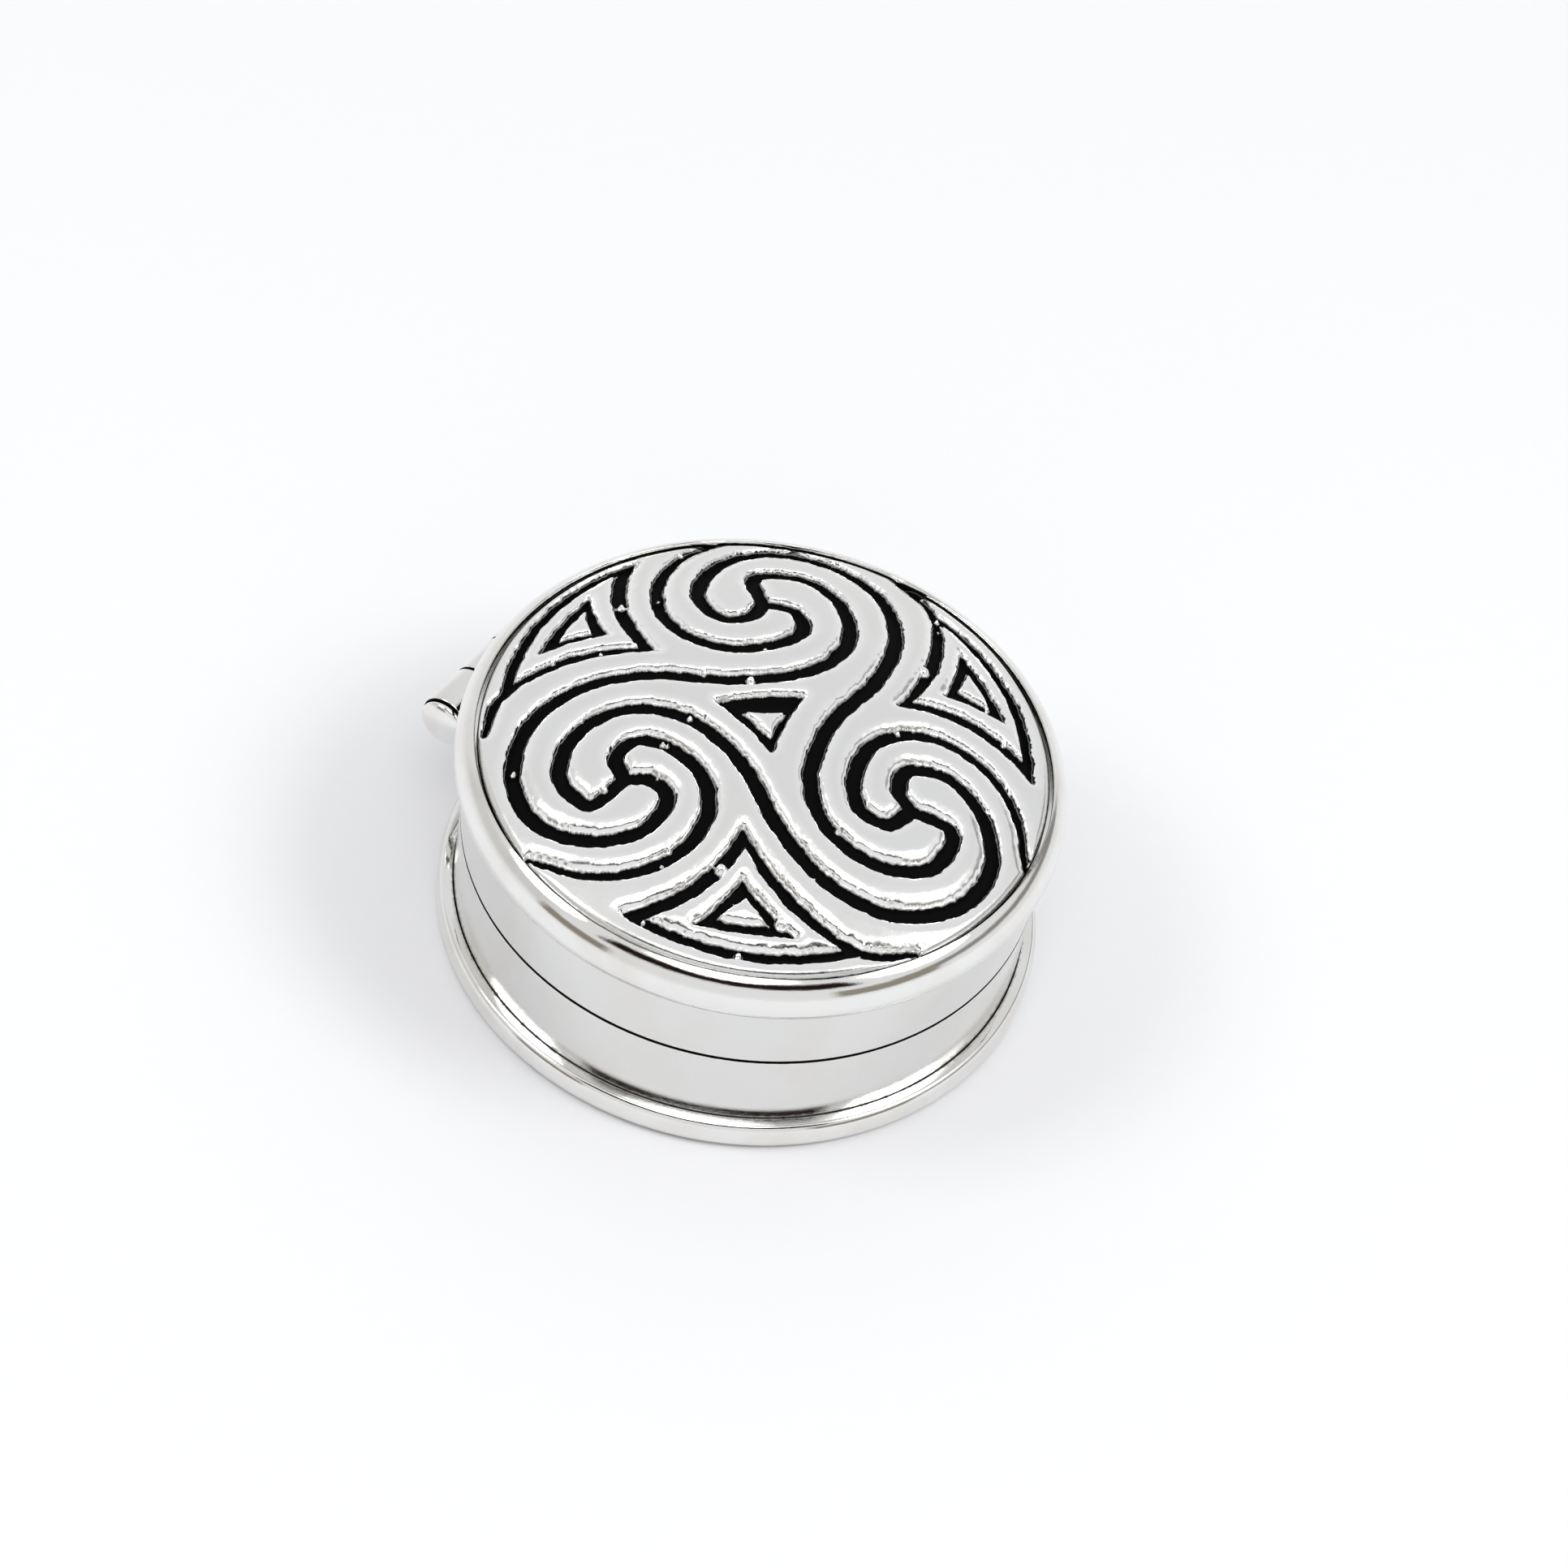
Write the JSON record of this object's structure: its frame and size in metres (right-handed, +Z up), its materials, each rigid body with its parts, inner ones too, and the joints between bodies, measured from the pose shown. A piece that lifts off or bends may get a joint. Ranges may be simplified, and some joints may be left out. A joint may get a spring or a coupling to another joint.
{
  "type": "pill box",
  "caption": "Small round hinged metal pill box with a domed lid that carries a plaque of linked spirals, opening on a barrel hinge at the back.",
  "frame": {"origin": "centre of the flat underside that the box stands on", "axes": "+Z up through the middle of the lid, +Y towards the hinge, +X along the hinge pin"},
  "size_m": [0.03, 0.032, 0.0145],
  "materials": {
    "polished_silver": "mirror polished with fine wear lines",
    "antiqued_silver": "polished bands over blackened grooves",
    "satin_silver": "satin, lightly brushed"
  },
  "bodies": {
    "box": {"base_plate": "satin_silver", "foot_bead": "polished_silver", "body_wall": "polished_silver", "guide_sleeve": "satin_silver", "body_knuckle_left": "polished_silver", "body_knuckle_right": "polished_silver", "hinge_pin": "polished_silver"},
    "lid": {"lid_wall": "polished_silver", "lid_rim_bead": "polished_silver", "lid_plate": "satin_silver", "ornament_plaque": "antiqued_silver", "lid_knuckle": "polished_silver"}
  },
  "joints": [
    {"name": "lid_hinge", "type": "hinge", "parent": "box", "child": "lid", "pos_m": [0, 0.01563, 0.0063], "axis": [-1, 0, 0], "range_deg": [0, 100]}
  ]
}
